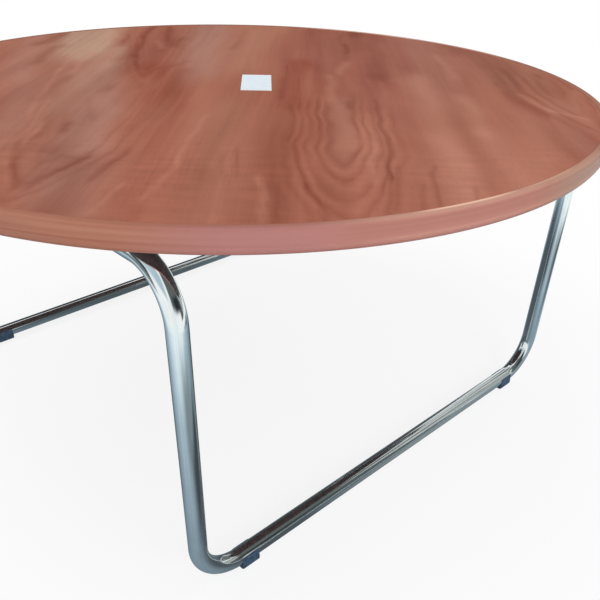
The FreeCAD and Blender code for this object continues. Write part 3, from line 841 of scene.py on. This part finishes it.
def make_screw(name, node, x, y, seat, radius, length):
    """A turned pan-head screw that points up; its recess is a cross sunk into the head.

    The depth at (r, a) falls from the middle to the end of each arm: the arm's half width in
    millimetres is r times the sine of the angle from it.
    """
    height = SCREW_HEAD_HEIGHT
    dome = arc((0.0, 0.0), 1.0, 90, 14, 9)
    head = np.stack([radius * dome[:, 0],
                     -height * (SCREW_BRIM + (1.0 - SCREW_BRIM) * dome[:, 1])], -1)
    rows = np.linspace(0.08, head[1, 0] / radius, 6)[:-1] * radius
    crown = np.stack([rows, np.full(len(rows), -height)], -1)
    side = np.array([(radius, -height * SCREW_BRIM), (radius, 0.0)])
    shank = np.array([(SCREW_SHANK_RADIUS, 0.0), (SCREW_SHANK_RADIUS, length * 0.75),
                      (0.25, length)])
    profile = np.concatenate([crown, head[1:], side, shank])
    points = turned(profile, SCREW_TURNS)
    bearing = np.linspace(0.0, 2.0 * math.pi, SCREW_TURNS, endpoint=False)
    reach = np.hypot(points[..., 0], points[..., 1])
    arm = np.abs(np.sin(2.0 * bearing)) / 2.0 * reach
    deep = np.clip(1.0 - reach / (RECESS_REACH * radius), 0.0, 1.0) ** 0.5
    narrow = np.clip(1.0 - arm / (RECESS_ARM * radius), 0.0, 1.0)
    sunk = RECESS_DEPTH * height * np.minimum(deep, narrow * 1.4)
    points[..., 2] += np.where(points[..., 2] < -0.5 * height, sunk, 0.0)
    tips = np.array([(0.0, 0.0, -height * (1.0 - RECESS_DEPTH)), (0.0, 0.0, length)])
    count = len(profile) * SCREW_TURNS
    ring = np.arange(SCREW_TURNS)
    faces = grid_faces(len(profile), SCREW_TURNS, wrap_columns=True)
    faces += fan_faces(ring, count, forward=False)
    faces += fan_faces(ring + count - SCREW_TURNS, count + 1)
    points = np.concatenate([points.reshape(-1, 3), tips]) + (x, y, seat)
    return make_piece(name, points, faces, FINISHES["zinc_screw"], [node])


def make_glide(name, node, x, y):
    """A saddle under the bar: a U-shaped band carried along Y, drawn in at both ends."""
    turn = math.degrees(math.asin(GLIDE_LIP_RISE / GLIDE_BORE_RADIUS))
    inner = arc((0.0, 0.0), GLIDE_BORE_RADIUS, turn, -180 - turn, 33)
    right = arc((GLIDE_HALF_WIDTH - GLIDE_BASE_ROUND, GLIDE_BASE_ROUND - GLIDE_DEPTH),
                GLIDE_BASE_ROUND, 0, -90, 9)
    left = right[::-1] * (-1, 1)
    flare = np.linspace(0.0, 1.0, 7)[:-1]
    growth = GLIDE_HALF_WIDTH - inner[0, 0] - GLIDE_LIP_WALL
    wall = np.stack([inner[0, 0] + GLIDE_LIP_WALL + growth * np.sin(0.5 * math.pi * flare),
                     GLIDE_LIP_RISE + (right[0, 1] - GLIDE_LIP_RISE) * flare], -1)
    sole = np.linspace(right[-1], left[0], 6)[1:-1]
    outer = np.concatenate([wall, right, sole, left, wall[::-1] * (-1, 1)])
    steps = np.concatenate([[0.0], np.cumsum(np.linalg.norm(np.diff(outer, axis=0), axis=1))])
    even = np.linspace(0.0, steps[-1], len(inner))
    outer = np.stack([np.interp(even, steps, outer[:, 0]), np.interp(even, steps, outer[:, 1])], -1)
    section = np.concatenate([outer, inner[::-1]])
    round_end = np.radians(np.linspace(0.0, 90.0, 6))
    draw = np.concatenate([1.0 - np.sin(round_end), (1.0 - np.sin(round_end))[::-1]])
    along = GLIDE_END_ROUND * np.cos(round_end) + GLIDE_HALF_LENGTH - GLIDE_END_ROUND
    along = np.concatenate([-along, along[::-1]])
    inset = np.where(np.arange(len(section)) < len(outer), -1.0, GLIDE_END_FLARE)[:, None]
    outward = section / np.linalg.norm(section, axis=1, keepdims=True)
    rows = section[None] + draw[:, None, None] * (inset * outward)[None]
    points = np.stack([rows[..., 0] + x,
                       np.broadcast_to(along[:, None], rows.shape[:2]) + y,
                       rows[..., 1] + BAR_HEIGHT], -1)
    size = len(section)
    faces = grid_faces(len(along), size, wrap_columns=True)
    low = np.arange(len(outer) - 1)
    cap = np.stack([low, low + 1, size - 2 - low, size - 1 - low], -1)
    faces += cap[:, ::-1].tolist()
    faces += (cap + (len(along) - 1) * size).tolist()
    return make_piece(name, points, faces, FINISHES["glide_plastic"], [node],
                      sharp_angle=32.0)


make_top_sheet()
make_edge_band()
make_label()
for side_name, side in SIDES.items():
    make_tube_frame(side_name, side)
for end_name, end in ENDS.items():
    for side_name, side in SIDES.items():
        corner = f"{end_name}_{side_name}"
        make_screw(f"{corner}_joint_screw", f"{corner}_sleeve_screw", side * JOINT_SCREW_REACH,
                   end * LEG_REACH, CROSSBAR_HEIGHT - TUBE_RADIUS, *JOINT_SCREW)
        for row_name, row in (("inner", -1), ("outer", 1)):
            make_screw(f"{corner}_{row_name}_pan_screw", f"{corner}_{row_name}_board_screw",
                       side * PLATE_REACH, end * (LEG_REACH + row * BOARD_SCREW_ROW),
                       PLATE_BASE, *BOARD_SCREW)
        make_glide(f"{corner}_saddle_glide", f"{corner}_glide", side * SLED_REACH,
                   end * GLIDE_REACH)

# The solids that stay in view get the same finishes
KEPT_NODES = {"board_core": "particleboard", "underside_laminate": "backing_laminate",
              "front_joint_sleeve": "plain_steel", "rear_joint_sleeve": "plain_steel"}
KEPT_NODES.update({f"{end}_{side}_mounting_plate": "chrome" for end in ENDS for side in SIDES})
for node_name, finish in KEPT_NODES.items():
    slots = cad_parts[node_name].data.materials
    slots.clear()
    slots.append(FINISHES[finish])


# The studio: a pale floor, a white surround, soft lamps, and glowing cards and a floor with a
# painted shadow that only the chrome mirrors

# Half widths and heights in metres of the floor and of the floor that the chrome mirrors
FLOOR = (9.0, -0.0003)
FLOOR_SHADE = (1.2, 0.0002)

WHITE = (1.0, 1.0, 1.0, 1.0)
SURROUND_LIGHT = 0.55


def seen_or_mirrored(tree):
    """1 for rays from the camera, off a gloss or through glass, and 0 for rays that light."""
    path = add(tree, "LightPath").outputs
    seen = reckon(tree, "MAXIMUM", path["Is Camera Ray"], path["Is Glossy Ray"])
    return reckon(tree, "MAXIMUM", seen, path["Is Transmission Ray"])


def glow(tree, shade):
    """Plain light of one shade."""
    return add(tree, "Emission", {"Color": shade, "Strength": 1.0}).outputs[0]


def mixed(tree, amount, first, second):
    """Two shaders mixed."""
    return add(tree, "MixShader", {0: amount, 1: first, 2: second}).outputs[0]


def level_square(reach, height):
    """The corners of a level square round the table."""
    return [(x * reach, y * reach, height) for x, y in ((-1, -1), (1, -1), (1, 1), (-1, 1))]


def make_plane(name, corners, material):
    """A staged rectangle through four corners in metres, with a UV square on it."""
    mesh = bpy.data.meshes.new(name)
    mesh.from_pydata(corners, [], [(0, 1, 2, 3)])
    layer = mesh.uv_layers.new(name="UVMap")
    layer.data.foreach_set("uv", [0, 0, 1, 0, 1, 1, 0, 1])
    mesh.materials.append(material)
    plane = bpy.data.objects.new(name, mesh)
    bpy.context.scene.collection.objects.link(plane)
    return plane


def make_floor():
    """A large square of matt pale floor that fades to plain white away from the table."""
    material, tree, place = new_material("pale_floor")
    distance = add(tree, "VectorMath", {0: place}, operation="LENGTH").outputs["Value"]
    fade = remap(tree, distance, (0.4, 1.4), (0.84, 1.0), interpolation_type="SMOOTHSTEP")
    fade = reckon(tree, "MULTIPLY", fade, seen_or_mirrored(tree))
    matt = add(tree, "BsdfDiffuse", {"Color": colour("#F6F6F6")}).outputs[0]
    make_plane("floor", level_square(*FLOOR),
               closed(material, mixed(tree, fade, matt, glow(tree, WHITE))))


def only_mirrored(card):
    """Hides a card from all but mirror reflections."""
    card.visible_camera = False
    card.visible_diffuse = False
    card.visible_shadow = False
    card.visible_transmission = False


def make_card(name, corners, shade, soft):
    """A glowing card with soft edges that only mirror reflections see: a painted reflection, set
    like a studio flag.
    """
    material, tree, across = new_material(name, "UV")
    across = parts(tree, across)
    cover = 1.0
    for axis in ("X", "Y"):
        inward = reckon(tree, "ABSOLUTE", reckon(tree, "SUBTRACT", across[axis], 0.5))
        edge = remap(tree, inward, (0.5, 0.5 - soft), (0.0, 1.0), interpolation_type="SMOOTHSTEP")
        cover = reckon(tree, "MULTIPLY", cover, edge)
    clear = add(tree, "BsdfTransparent").outputs[0]
    shader = mixed(tree, cover, clear, glow(tree, colour(shade)))
    only_mirrored(make_plane(name, corners, closed(material, shader)))


def make_floor_shade():
    """The floor as the chrome mirrors it, a glowing plane with the table's shadow painted on it:
    dark under the table, and paler away from it.
    """
    material, tree, place = new_material("mirrored_floor")
    distance = add(tree, "VectorMath", {0: place}, operation="LENGTH").outputs["Value"]
    shade = ramp(tree, distance, (0.3, "#525C61"), (1.0, "#F9FFFF"), (0.42, "#788994"),
                 (0.6, "#9FB1BE"), (0.75, "#B8CBD7"), (0.88, "#E2F0F8"))
    only_mirrored(make_plane("floor_shade", level_square(*FLOOR_SHADE),
                             closed(material, glow(tree, shade))))


def make_world():
    """White where it is seen or mirrored, and a softer grey as a light."""
    world = bpy.data.worlds.new("studio")
    world.use_nodes = True
    bpy.context.scene.world = world
    tree = world.node_tree
    tree.nodes.clear()
    level = remap(tree, seen_or_mirrored(tree), (0.0, 1.0), (SURROUND_LIGHT, 1.0))
    background = add(tree, "Background", {"Color": WHITE, "Strength": level}).outputs[0]
    add(tree, "OutputWorld", {"Surface": background})


def make_lamp(name, place, aim, size, power):
    """A square soft lamp that faces a point; the chrome mirrors the surround in its place."""
    lamp = bpy.data.lights.new(name, "AREA")
    lamp.shape = "SQUARE"
    lamp.size = size
    lamp.energy = power
    holder = bpy.data.objects.new(name, lamp)
    holder.visible_glossy = False
    holder.location = place
    holder.rotation_euler = (Vector(aim) - Vector(place)).to_track_quat("-Z", "Y").to_euler()
    bpy.context.scene.collection.objects.link(holder)


# Where the photograph was taken from: sensor and place in millimetres, and the directions that
# run right, down and into the picture
LENS_PIXELS = 689.7
FRAME_PIXELS = 600.0
SENSOR = 36.0
CAMERA_PLACE = (723.7, -578.4, 626.95)
CAMERA_RIGHT = (0.6890, 0.7243, 0.0262)
CAMERA_DOWN = (0.4382, -0.3875, -0.8110)
CAMERA_FORWARD = (-0.5773, 0.5703, -0.5844)
CAMERA_SHIFT = (-0.0064, 0.1344)


def make_camera():
    """A camera with a shifted lens, whose focal length suits a square frame."""
    data = bpy.data.cameras.new("camera")
    data.sensor_width = SENSOR
    data.lens = LENS_PIXELS / FRAME_PIXELS * SENSOR
    data.shift_x, data.shift_y = CAMERA_SHIFT
    data.clip_start = 0.05
    camera = bpy.data.objects.new("camera", data)
    turn = Matrix((CAMERA_RIGHT, [-d for d in CAMERA_DOWN], [-f for f in CAMERA_FORWARD]))
    camera.matrix_world = (Matrix.Translation(Vector(CAMERA_PLACE) * MM)
                           @ turn.transposed().to_quaternion().to_matrix().to_4x4())
    bpy.context.scene.collection.objects.link(camera)
    bpy.context.scene.camera = camera


# The cards glow and are painted reflections: those on the floor paint a darker, shaded floor round
# the table, and the walls a darker room
# In metres: name, axis a card stands square to, place on that axis, its reach along the other two
# axes in turn, colour, and share of its width over which each edge fades
CARDS = (
    ("corner_floor_shade", 2, 0.0004, (0.38, 0.86), (-0.68, 0.12), "#828D92", 0.42),
    ("leg_floor_shade", 2, 0.0005, (0.33, 0.6), (-0.4, 0.08), "#434B50", 0.35),
    ("foot_floor_shade", 2, 0.0006, (0.29, 0.41), (-0.31, -0.1), "#50585D", 0.35),
    ("bar_floor_shade", 2, 0.0007, (0.31, 0.37), (-0.18, 0.36), "#90989A", 0.4),
    ("side_floor_shade", 2, 0.0003, (0.6, 1.05), (-0.02, 0.7), "#AAB7BF", 0.3),
    ("rear_floor_shade", 2, 0.0004, (0.36, 0.95), (0.2, 1.1), "#5F696D", 0.35),
    ("left_floor_shade", 2, 0.0004, (-1.9, -0.8), (-1.0, 2.2), "#474B4C", 0.15),
    ("front_floor_shade", 2, 0.0004, (-1.9, -0.3), (-2.5, -0.5), "#6C777E", 0.2),
    ("right_wall", 0, 1.7, (-1.3, 1.6), (0.25, 4.4), "#606665", 0.12),
    ("right_low_wall", 0, 1.705, (0.25, 1.6), (-0.3, 0.9), "#606665", 0.15),
    ("right_patch", 0, 1.69, (-0.85, 1.1), (0.3, 1.2), "#2E3236", 0.3),
    ("high_wall", 0, 1.72, (1.0, 4.6), (1.7, 6.0), "#5C6160", 0.12),
    ("far_right_wall", 0, 1.71, (1.4, 4.6), (-0.3, 2.0), "#A8ADAB", 0.12),
    ("left_wall", 0, -1.9, (-1.4, 2.8), (-0.3, 3.2), "#43474A", 0.12),
    ("rear_wall", 1, 3.2, (-2.2, 1.2), (-0.3, 2.4), "#6E7374", 0.15),
    ("rear_high_wall", 1, 3.21, (-2.4, 2.4), (2.0, 6.0), "#C9CDCC", 0.12),
    ("front_wall", 1, -2.5, (-2.5, -0.4), (-0.3, 1.1), "#4A5256", 0.2),
    ("front_high_wall", 1, -2.51, (-2.5, 2.6), (0.8, 5.0), "#B9CCD8", 0.15),
)
# Name, place and the point it faces in metres, width in metres and power in watts
LAMPS = (
    ("key_lamp", (-1.1, -0.7, 2.7), (0, 0, 0.3), 1.6, 28),
    ("back_lamp", (0.6, 2.4, 2.0), (0, 0, 0.3), 1.6, 18),
    ("front_lamp", (2.3, -0.7, 1.1), (0.2, -0.2, 0.35), 1.2, 26),
)

make_floor()
make_floor_shade()
for card_name, axis, place, first_reach, second_reach, shade, soft in CARDS:
    make_card(card_name, [np.insert([first_reach[a], second_reach[b]], axis, place).tolist()
                          for a, b in ((0, 0), (1, 0), (1, 1), (0, 1))], shade, soft)
make_world()
for lamp in LAMPS:
    make_lamp(*lamp)
make_camera()
bpy.context.scene.view_settings.view_transform = "Standard"
